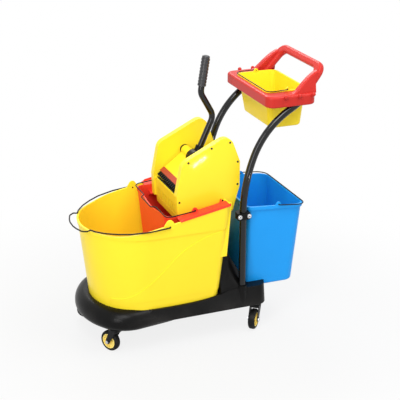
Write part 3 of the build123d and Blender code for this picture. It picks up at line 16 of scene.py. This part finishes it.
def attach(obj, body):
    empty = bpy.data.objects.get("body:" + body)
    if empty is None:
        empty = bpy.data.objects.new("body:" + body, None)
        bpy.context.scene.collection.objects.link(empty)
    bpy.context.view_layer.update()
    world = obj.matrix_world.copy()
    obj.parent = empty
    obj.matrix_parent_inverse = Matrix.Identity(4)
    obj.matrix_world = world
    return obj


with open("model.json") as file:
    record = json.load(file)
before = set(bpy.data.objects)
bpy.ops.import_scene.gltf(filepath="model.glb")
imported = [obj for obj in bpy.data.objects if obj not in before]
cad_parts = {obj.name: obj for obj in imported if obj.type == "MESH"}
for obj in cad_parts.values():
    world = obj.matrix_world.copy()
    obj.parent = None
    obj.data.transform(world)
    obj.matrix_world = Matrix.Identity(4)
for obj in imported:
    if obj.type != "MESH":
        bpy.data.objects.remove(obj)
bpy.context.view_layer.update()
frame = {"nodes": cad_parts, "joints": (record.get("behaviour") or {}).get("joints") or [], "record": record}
solids = frame["nodes"]

# %% [markdown]
# ## The camera
# The trolley is seen from its left, a little from the front and from above head height. A long lens
# from four metres keeps the verticals nearly parallel. The camera is aimed with a track quaternion,
# which is simpler than working out Euler angles by hand.

# %% Camera
aim = Vector((0.038, 0.0, 0.460))
distance, azimuth, elevation = 4.05, math.radians(-21.3), math.radians(21.4)
level_reach = math.cos(elevation)
away = Vector((math.sin(azimuth) * level_reach, -math.cos(azimuth) * level_reach, math.sin(elevation)))

lens = bpy.data.cameras.new("studio_camera")
lens.lens = 101.7
lens.sensor_width = 36.0
camera = bpy.data.objects.new("studio_camera", lens)
camera.location = aim + distance * away
camera.rotation_euler = away.to_track_quat("Z", "Y").to_euler()
bpy.context.scene.collection.objects.link(camera)
bpy.context.scene.camera = camera
print("camera at", [round(c, 3) for c in camera.location])

# %% [markdown]
# ## Writing node graphs as expressions
# A finish is a small graph of nodes. Wiring each one by hand hides the idea behind the finish, so a
# `Feed` wraps one output socket and lets Python's own operators add the Math nodes. Every other node
# comes from `Graph.add`, which takes a node's type, its settings and its sockets.

# %% Feed and Graph
class Feed:
    """An output socket of a graph that can be used in arithmetic."""

    def __init__(self, graph, socket):
        self.graph = graph
        self.socket = socket

    def work_out(self, operation, first, second):
        return self.graph.add("ShaderNodeMath", {"operation": operation}, {0: first, 1: second})

    def __add__(self, other):
        return self.work_out("ADD", self, other)

    def __sub__(self, other):
        return self.work_out("SUBTRACT", self, other)

    def __mul__(self, other):
        return self.work_out("MULTIPLY", self, other)

    def __radd__(self, other):
        return self.work_out("ADD", other, self)

    def __rsub__(self, other):
        return self.work_out("SUBTRACT", other, self)

    def __rmul__(self, other):
        return self.work_out("MULTIPLY", other, self)


class Graph:
    """A tree of nodes that is written as expressions."""

    def __init__(self, tree):
        self.tree = tree

    def connect(self, socket, value):
        if isinstance(value, Feed):
            self.tree.links.new(value.socket, socket)
        else:
            socket.default_value = value

    def add(self, kind, settings=None, sockets=None, output=0):
        node = self.tree.nodes.new(kind)
        for name, value in (settings or {}).items():
            setattr(node, name, value)
        for name, value in (sockets or {}).items():
            self.connect(node.inputs[name], value)
        return Feed(self, node.outputs[output])

    def looked_at(self):
        """1 for rays from the camera, off a shine or through glass, 0 for light that bounces on."""
        kinds = ("Is Camera Ray", "Is Glossy Ray", "Is Transmission Ray")
        straight, mirrored, passed = (self.add("ShaderNodeLightPath", output=kind) for kind in kinds)
        return straight + mirrored + passed


print("reflected operators:", [name for name in vars(Feed) if name.startswith("__r")])

# %% [markdown]
# ## A graph for finishes
# All finishes of the trolley need the same few things: cloudy noise, a soft threshold, a mix of two
# colours and a bumpy skin. They could be node groups, but methods are shorter and read in the order of
# thought. Patterns use object coordinates, so they stay on a piece when it moves.

# %% Finish graph
class Finish(Graph):
    """A material whose nodes are written as expressions."""

    def __init__(self, name):
        self.material = bpy.data.materials.new(name)
        self.material.use_nodes = True
        super().__init__(self.material.node_tree)
        self.shader = self.tree.nodes["Principled BSDF"]
        self.place = self.add("ShaderNodeTexCoord", output="Object")

    def surface(self, **sockets):
        """Sets the shader's own sockets; an underscore stands for a space."""
        for name, value in sockets.items():
            self.connect(self.shader.inputs[name.replace("_", " ")], value)

    def noise(self, scale, detail=3.0, stretch=(1, 1, 1)):
        """Cloudy pattern from 0 to 1; scale is in patches per metre."""
        spot = self.place
        if stretch != (1, 1, 1):
            spot = self.add("ShaderNodeMapping", None, {"Vector": self.place, "Scale": stretch})
        return self.add("ShaderNodeTexNoise", None, {"Vector": spot, "Scale": scale, "Detail": detail})

    def ease(self, value, low, high):
        """0 below low, 1 above high, and smooth between."""
        return self.add(
            "ShaderNodeMapRange",
            {"interpolation_type": "SMOOTHSTEP"},
            {"Value": value, "From Min": low, "From Max": high},
        )

    def tint(self, mask, under, over):
        """Colour under where mask is 0, over where it is 1; Mix has its colours in sockets 6 and 7."""
        return self.add("ShaderNodeMix", {"data_type": "RGBA"}, {0: mask, 6: under, 7: over}, output=2)

    def relief(self, height, depth):
        """Normal bent by a height pattern; depth is in metres."""
        return self.add("ShaderNodeBump", None, {"Height": height, "Distance": depth, "Strength": 1.0})

    def height_above_floor(self):
        return self.add("ShaderNodeSeparateXYZ", None, {0: self.place}, output="Z")


def shade(colour, by):
    """The same colour, lighter or darker, with full alpha."""
    return tuple(min(1.0, channel * by) for channel in colour) + (1.0,)


print("a colour at half its strength:", shade((0.8, 0.4, 0.2), 0.5))

# %% [markdown]
# ## Moulded plastic
# The buckets, the wringer and the handle are injection mouldings. Up close such plastic is never one
# flat colour: the colour flows in faint clouds, the skin has a slight orange peel, and handling leaves
# fine scuffs that dull the shine and lighten it a little. Painted images could show this too, but they
# need unwrapped surfaces and blur up close, so all three come from noise.

# %% Moulded plastics
def moulded_plastic(name, colour, roughness=0.34, gloss=0.10):
    finish = Finish(name)
    flow = finish.noise(5.0, detail=4.0)
    peel = finish.noise(420.0, detail=2.0)
    scratch = finish.ease(finish.noise(60.0, 5.0, stretch=(1.0, 1.0, 9.0)), 0.66, 0.74)
    rub = finish.ease(finish.noise(14.0, 6.0), 0.52, 0.72)
    worn = scratch * rub
    clouded = finish.tint(flow, shade(colour, 0.95), shade(colour, 1.05))
    finish.surface(
        Base_Color=finish.tint(worn * 0.25, clouded, shade(colour, 1.25)),
        Roughness=roughness - 0.05 + flow * 0.08 + worn * 0.2,
        Normal=finish.relief(peel + worn * 0.6, 0.00012),
        Coat_Weight=gloss - worn * gloss * 0.6,
        Coat_Roughness=0.04,
        IOR=1.45,
        Specular_IOR_Level=0.15,
    )
    return finish.material


yellow = moulded_plastic("yellow_moulded_plastic", (0.98, 0.735, 0.028))
red = moulded_plastic("red_moulded_plastic", (0.80, 0.052, 0.026), gloss=0.06)
handle_red = moulded_plastic("crimson_handle_plastic", (0.52, 0.028, 0.021), gloss=0.06)
blue = moulded_plastic("blue_moulded_plastic", (0.013, 0.32, 0.84), gloss=0.08)
hub_yellow = moulded_plastic("pale_yellow_wheel_hub", (0.96, 0.76, 0.20), roughness=0.4)
print("plastics:", [m.name for m in (yellow, red, handle_red, blue, hub_yellow)])

# %% [markdown]
# ## Black base, combs and clamps
# The base is one large satin moulding with a fine stipple from its mould, which scatters highlights
# into broad soft bands. Real bumps would cost millions of faces, so fine noise bends the normal
# instead. A little dust gathers low down, where shoes and wet floors reach it.

# %% Satin black plastics
def satin_black(name, colour, roughness, stipple, dust):
    finish = Finish(name)
    grain = finish.noise(900.0, detail=2.0)
    cloud = finish.noise(7.0, detail=5.0)
    low = 1 - finish.ease(finish.height_above_floor(), 0.085, 0.17)
    dusty = low * finish.ease(cloud, 0.42, 0.75) * dust
    clouded = finish.tint(cloud, shade(colour, 0.85), shade(colour, 1.2))
    finish.surface(
        Base_Color=finish.tint(dusty, clouded, (0.09, 0.085, 0.08, 1)),
        Roughness=roughness + cloud * 0.08 + dusty * 0.25,
        Normal=finish.relief(grain, stipple),
        Specular_IOR_Level=0.13,
    )
    return finish.material


base_black = satin_black("satin_black_moulding", (0.0030, 0.0029, 0.0029), 0.25, 0.00012, 0.22)
comb_and_recess_shade_black = satin_black("matt_black_comb", (0.010, 0.010, 0.010), 0.5, 0.0001, 0.0)
print("black plastics:", base_black.name, comb_and_recess_shade_black.name)

# %% [markdown]
# ## Painted tubes, wires and forks
# The uprights and the lever are steel tube in gloss black enamel. One glossy layer would do for a new
# tube, but a clear coat over a dull base lets a chip lose its shine. The bails are thin wire in a
# softer coating, and the forks of the castors have the same.

# %% Black enamels
def enamel(name, colour, roughness, coat):
    finish = Finish(name)
    sag = finish.noise(90.0, detail=2.0)
    chips = finish.ease(finish.noise(70.0, detail=8.0), 0.70, 0.735)
    finish.surface(
        Base_Color=finish.tint(chips * 0.5, shade(colour, 1.0), (0.10, 0.10, 0.10, 1)),
        Roughness=roughness + chips * 0.25 + sag * 0.05,
        Normal=finish.relief(sag - chips * 0.3, 0.00008),
        Specular_IOR_Level=0.12,
        Coat_Weight=coat - chips * coat,
        Coat_Roughness=0.04,
    )
    return finish.material


tube_black = enamel("gloss_black_enamel", (0.003, 0.003, 0.0034), 0.22, 0.60)
wire_black = enamel("black_wire_coating", (0.005, 0.005, 0.0055), 0.35, 0.1)
fork_black = enamel("black_fork_coating", (0.007, 0.007, 0.0075), 0.40, 0.1)
screw_black = enamel("blackened_screw", (0.03, 0.028, 0.025), 0.35, 0.0)
print("enamels:", tube_black.name, wire_black.name, fork_black.name, screw_black.name)

# %% [markdown]
# ## Plated steel
# Sleeves, axles and the shaft are zinc plated: a grey metal with a drawn grain. An anisotropic shine
# would need tangents, so noise stretched along one axis gives the grain. The clamp bolts are brighter
# and show as small silver glints on the uprights.

# %% Steel
def plated_steel(name, colour, roughness):
    finish = Finish(name)
    grain = finish.noise(500.0, 3.0, stretch=(1.0, 0.08, 1.0))
    bloom = finish.noise(40.0, detail=4.0)
    finish.surface(
        Base_Color=finish.tint(bloom, shade(colour, 0.8), shade(colour, 1.1)),
        Metallic=1.0,
        Roughness=roughness + grain * 0.15,
        Normal=finish.relief(grain, 0.00003),
    )
    return finish.material


zinc = plated_steel("zinc_plated_steel", (0.56, 0.57, 0.59), 0.28)
bright = plated_steel("bright_plated_bolt", (0.78, 0.78, 0.80), 0.12)
print("metals:", zinc.name, bright.name)

# %% [markdown]
# ## Rubber
# The grip, the tyres and the wiping strip are rubber. The tyres and the strip are matt, and the grip is
# polished by hands. A sheen layer could soften their edges, but a rough skin with a fine pitted relief
# and a smear of grey dust is enough at this size.

# %% Rubbers
def rubber(name, colour, roughness, dust, shine=0.3):
    finish = Finish(name)
    pits = finish.noise(700.0, detail=3.0)
    smear = finish.ease(finish.noise(30.0, detail=5.0), 0.45, 0.75)
    finish.surface(
        Base_Color=finish.tint(smear * dust, shade(colour, 1.0), (0.20, 0.19, 0.17, 1)),
        Roughness=roughness + smear * 0.1,
        Normal=finish.relief(pits, 0.0002),
        Specular_IOR_Level=shine,
    )
    return finish.material


grip_rubber = rubber("ribbed_grip_rubber", (0.022, 0.022, 0.024), 0.36, 0.1, shine=0.6)
tyre_rubber = rubber("tyre_rubber", (0.007, 0.007, 0.007), 0.6, 0.12, shine=0.12)
# The strip's deep red is partly its own rubber colour and partly painted shade for the shade inside the
# wringer.
strip_rubber_with_painted_shade = rubber("red_wiping_strip", (0.44, 0.055, 0.02), 0.5, 0.05)
print("rubbers:", grip_rubber.name, tyre_rubber.name, strip_rubber_with_painted_shade.name)

# %% [markdown]
# ## Giving each solid its finish
# Each solid could be dressed by its name, but the record of the trolley gives a material slot for every
# solid. One table from slot to finish dresses all of them, and none can be forgotten. Two kinds differ
# from their slot: the handle is a darker red than the bucket, and the plated castor seats are painted
# black as painted shade, for the shade they stand in under the base.

# %% Dress the solids
finishes = {
    "yellow_plastic": yellow,
    "red_plastic": red,
    "blue_plastic": blue,
    "yellow_hub": hub_yellow,
    "black_plastic": base_black,
    "black_comb": comb_and_recess_shade_black,
    "black_tube": tube_black,
    "black_wire": wire_black,
    "black_fork": fork_black,
    "steel": zinc,
    "bright_bolt": bright,
    "dark_screw": screw_black,
    "grip_rubber": grip_rubber,
    "tyre": tyre_rubber,
    "red_rubber": strip_rubber_with_painted_shade,
}
own_colour_and_painted_shade = {"handle_tray": handle_red}
# Painted shade: the plated castor seats get the black fork coating, standing for the shade under the base.
own_colour_and_painted_shade.update({name: fork_black for name in solids if name.startswith("castor_seat")})
for subpart in frame["record"]["subparts"]:
    name = subpart["node"]
    for holder in solids[name].material_slots:
        holder.material = own_colour_and_painted_shade.get(name, finishes[subpart["material_slot"]])

# %% [markdown]
# ## Finding the fasteners
# The cover screws are one solid made of many loose pieces, and so are the clamp bolts. Their places
# could be typed in, but then they would stay behind when the trolley changes. Walking from corner to
# corner along the edges gathers one loose piece at a time, and each gives the middle of its head, which
# always faces out along Y.

# %% Fasteners
def heads(solid):
    """Middle of the outer face of every loose piece and the way it faces, in a fixed order."""
    shape = bmesh.new()
    shape.from_mesh(solid.data)
    bmesh.ops.remove_doubles(shape, verts=shape.verts, dist=1e-6)
    loose, found = set(shape.verts), []
    while loose:
        queue, piece = [loose.pop()], []
        while queue:
            corner = queue.pop()
            piece.append(corner.co.copy())
            near = {edge.other_vert(corner) for edge in corner.link_edges} & loose
            loose -= near
            queue.extend(near)
        low, high = ([pick(p[i] for p in piece) for i in range(3)] for pick in (min, max))
        middle = [(a + b) / 2 for a, b in zip(low, high)]
        side = 1 if middle[1] > 0 else -1
        face = high[1] if side > 0 else low[1]
        found.append((round(middle[0], 5), round(face, 5), round(middle[2], 5), side))
    shape.free()
    return sorted(found)


screw_heads = heads(solids["cover_screws"])
bolt_heads = heads(solids["clamp_bolts"])
print("screws:", len(screw_heads), "bolts:", len(bolt_heads))

# %% [markdown]
# ## Two ways to make a fitting
# Small fittings come from two moves: push an outline out along Y, or turn a profile round an axis.
# Modifiers could do both, but a mesh built directly has no faces to clean up. `piece_from` then turns
# the normals outward, dresses the piece and lets it ride on a moving body.

# %% Push, turn and dress
def push(shape, outline, head, start, end):
    """Pushes an outline of (x, z) points out along Y; start and end count from the head's face."""
    x, y, z, side = head
    low = [shape.verts.new((x + u, y + side * start, z + v)) for u, v in outline]
    high = [shape.verts.new((x + u, y + side * end, z + v)) for u, v in outline]
    shape.faces.new(low)
    shape.faces.new(high)
    for i in range(len(outline)):
        shape.faces.new((low[i - 1], low[i], high[i], high[i - 1]))


def turn(shape, profile, centre, axis, count=72):
    """Turns a closed profile of (radius, distance along the axis) points round an axis."""
    lay = Vector(axis).to_track_quat("Z", "Y")
    rings = []
    for i in range(count):
        a = 2 * math.pi * i / count
        points = [Vector((r * math.cos(a), r * math.sin(a), h)) for r, h in profile]
        rings.append([shape.verts.new(Vector(centre) + lay @ point) for point in points])
    for i in range(count):
        for j in range(len(profile)):
            face = shape.faces.new((rings[i - 1][j - 1], rings[i - 1][j], rings[i][j], rings[i][j - 1]))
            face.smooth = True


def piece_from(shape, name, body, material):
    """Makes a dressed piece that rides on a body and prints its count of faces."""
    bmesh.ops.recalc_face_normals(shape, faces=shape.faces)
    mesh = bpy.data.meshes.new(name)
    shape.to_mesh(mesh)
    shape.free()
    mesh.materials.append(material)
    piece = bpy.data.objects.new(name, mesh)
    bpy.context.scene.collection.objects.link(piece)
    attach(piece, body)
    print(name, "on", body, "faces:", len(mesh.polygons))


# %% [markdown]
# ## Drive recesses in painted shade
# A screw reads as a screw by its cross, and a bolt by its hexagon. Cutting them into the heads would
# change the solids, so each recess is a dark plug that stands a tenth of a millimetre proud. Its black
# is painted shade, standing for the shade inside the hole. It looks like a hole and cannot flicker
# against the head.

# %% Drive recesses
cross_arm, cross_half, cross_depth = 0.0015, 0.00035, 0.0002
socket_radius, socket_depth = 0.0026, 0.0003
recess_proud = 0.0001

quarter = ((cross_arm, -cross_half), (cross_arm, cross_half), (cross_half, cross_half))
cross = []
for c, k in ((1, 0), (0, 1), (-1, 0), (0, -1)):
    cross += [(u * c - v * k, u * k + v * c) for u, v in quarter]
corners = [math.radians(60 * i) for i in range(6)]
hexagon = [(socket_radius * math.cos(t), socket_radius * math.sin(t)) for t in corners]

# The crosses and hexagons are dark plugs of painted shade, not cut recesses.
cross_shade_plugs, sockets = bmesh.new(), bmesh.new()
for head in screw_heads:
    push(cross_shade_plugs, cross, head, -cross_depth, recess_proud)
for head in bolt_heads:
    push(sockets, hexagon, head, -socket_depth, recess_proud)
piece_from(cross_shade_plugs, "screw_cross_shade", "wringer", comb_and_recess_shade_black)
piece_from(sockets, "bolt_socket_shade", "chassis", comb_and_recess_shade_black)

# %% [markdown]
# ## Washers
# A plain washer lies under the head of each clamp bolt. It is a flat ring with one bevelled edge. A
# cylinder with a hole cut by a Boolean would do, but a turned profile of five points gives the same
# ring with even faces and its bevel included.

# %% Washers
washer_hole, washer_rim, washer_height, washer_bevel = 0.0056, 0.0080, 0.0011, 0.0003
bolt_head_height = 0.003

flat_ring = (
    (washer_hole, 0.0),
    (washer_rim, 0.0),
    (washer_rim, washer_height - washer_bevel),
    (washer_rim - washer_bevel, washer_height),
    (washer_hole, washer_height),
)
washers = bmesh.new()
for x, y, z, side in bolt_heads:
    turn(washers, flat_ring, (x, y - side * bolt_head_height, z), (0, side, 0))
piece_from(washers, "bolt_washers", "chassis", zinc)

# %% [markdown]
# ## Tyre beads
# A moulded tyre has a raised bead where it grips the hub. It is thin trim, so it is left to this lesson
# and not made in the solid. A torus would be quicker, but a bead is wider than it is high, so its
# profile is turned. The wheels turn about joints that the frame lists, and a bead on each side of
# each wheel needs only the joint's place and axis.

# %% Tyre beads
bead_inner, bead_outer, bead_taper = 0.0275, 0.0292, 0.0002
bead_root, bead_shoulder, bead_crest = -0.0004, 0.0003, 0.0007
bead_stand = 0.012

bead = (
    (bead_inner, bead_root),
    (bead_outer, bead_root),
    (bead_outer - bead_taper, bead_shoulder),
    ((bead_inner + bead_outer) / 2, bead_crest),
    (bead_inner + bead_taper, bead_shoulder),
)
for joint in frame["joints"]:
    if not joint["name"].startswith("roll_"):
        continue
    beads = bmesh.new()
    axle = Vector(joint["axis"]).normalized()
    for side in (1, -1):
        turn(beads, bead, Vector(joint["pos_m"]) + side * bead_stand * axle, side * axle)
    piece_from(beads, joint["name"].replace("roll", "tyre_bead"), joint["child"], tyre_rubber)

# %% [markdown]
# ## Floor
# A product picture wants a white surround without burning the object. A curved backdrop would show a
# grey band where it bends, so the floor shows plain white to the camera and to reflections only. It
# keeps part of its own shading near the trolley, which leaves a soft shadow there.

# %% Floor
floor_radius, shadow_start, shadow_end, shadow_share = 14.0, 0.5, 1.3, 0.16

floor_finish = Finish("pale_studio_floor")
floor_finish.surface(Base_Color=(0.48, 0.48, 0.48, 1), Roughness=0.9, Specular_IOR_Level=0.0)
length = {"operation": "LENGTH"}
span = floor_finish.add("ShaderNodeVectorMath", length, {0: floor_finish.place}, output="Value")
whiteness = 1 - shadow_share + shadow_share * floor_finish.ease(span, shadow_start, shadow_end)
own = Feed(floor_finish, floor_finish.shader.outputs["BSDF"])
white = floor_finish.add("ShaderNodeEmission", None, {"Color": (1, 1, 1, 1), "Strength": 1.0})
shown = floor_finish.looked_at() * whiteness
pale = floor_finish.add("ShaderNodeMixShader", None, {0: shown, 1: own, 2: white})
floor_finish.connect(floor_finish.tree.nodes["Material Output"].inputs["Surface"], pale)

sheet = bmesh.new()
bmesh.ops.create_circle(sheet, cap_ends=True, segments=64, radius=floor_radius)
floor_mesh = bpy.data.meshes.new("studio_floor")
sheet.to_mesh(floor_mesh)
sheet.free()
floor = bpy.data.objects.new("studio_floor", floor_mesh)
floor_mesh.materials.append(floor_finish.material)
bpy.context.scene.collection.objects.link(floor)
print("floor:", floor.name, "nodes:", len(floor_finish.tree.nodes))

# %% [markdown]
# ## Surround
# The world is white where it is looked at and a little weaker as a light. More light would whiten it
# too, but then the colours would no longer render about as they are written.

# %% Surround
surround_light = 0.74

world = bpy.data.worlds.new("studio_surround")
world.use_nodes = True
surround = Graph(world.node_tree)
backdrop = world.node_tree.nodes["Background"]
strength = surround_light + (1 - surround_light) * surround.looked_at()
surround.connect(backdrop.inputs["Color"], (1, 1, 1, 1))
surround.connect(backdrop.inputs["Strength"], strength)
bpy.context.scene.world = world
print("surround:", world.name, "nodes:", len(world.node_tree.nodes))

# %% [markdown]
# ## Lamps
# The white surround alone would light everything evenly and make the mouldings look flat, so four
# broad softboxes wrap the trolley from the left, the right, above and behind. Gloss black needs a
# light of its own, because a tube mirrors only what stands in one narrow direction: a tall box on the
# left draws the pale streak along the curved uprights and the sheen on the nose of the base. A small
# strip, rolled about its own axis, puts one slanting glint on the near side cover.

# %% Lamps
def softbox(name, spot, target, size, power, roll=0.0):
    """Rectangular lamp that faces a target; roll turns it about its own axis, in degrees."""
    lamp = bpy.data.lights.new(name, "AREA")
    lamp.shape = "RECTANGLE"
    lamp.size, lamp.size_y = size
    lamp.energy = power
    box = bpy.data.objects.new(name, lamp)
    box.location = spot
    facing = (Vector(spot) - Vector(target)).to_track_quat("Z", "Y")
    box.rotation_euler = (facing @ Quaternion((0, 0, 1), math.radians(roll))).to_euler()
    bpy.context.scene.collection.objects.link(box)


middle, front = (0, 0, 0.45), (-0.1, 0, 0.45)
upright, cover = (0.2, -0.19, 0.80), (-0.022, -0.135, 0.653)
softbox("key_softbox", (-1.1, -1.7, 3.1), front, (1.4, 1.4), 48)
softbox("fill_softbox", (2.9, -2.4, 1.5), middle, (1.2, 1.8), 9)
softbox("top_softbox", (1.0, -0.8, 3.1), front, (1.6, 1.4), 36)
softbox("back_softbox", (0.3, 2.6, 2.9), middle, (1.6, 1.4), 46)
softbox("streak_softbox", (-1.75, -1.75, 1.28), upright, (0.45, 1.7), 20)
softbox("cover_glint", (0.530, -1.541, 0.122), cover, (0.09, 0.012), 0.65, roll=38)

# %% [markdown]
# ## View transform
# The picture uses the Standard view transform.

# %% View transform
bpy.context.scene.view_settings.view_transform = "Standard"
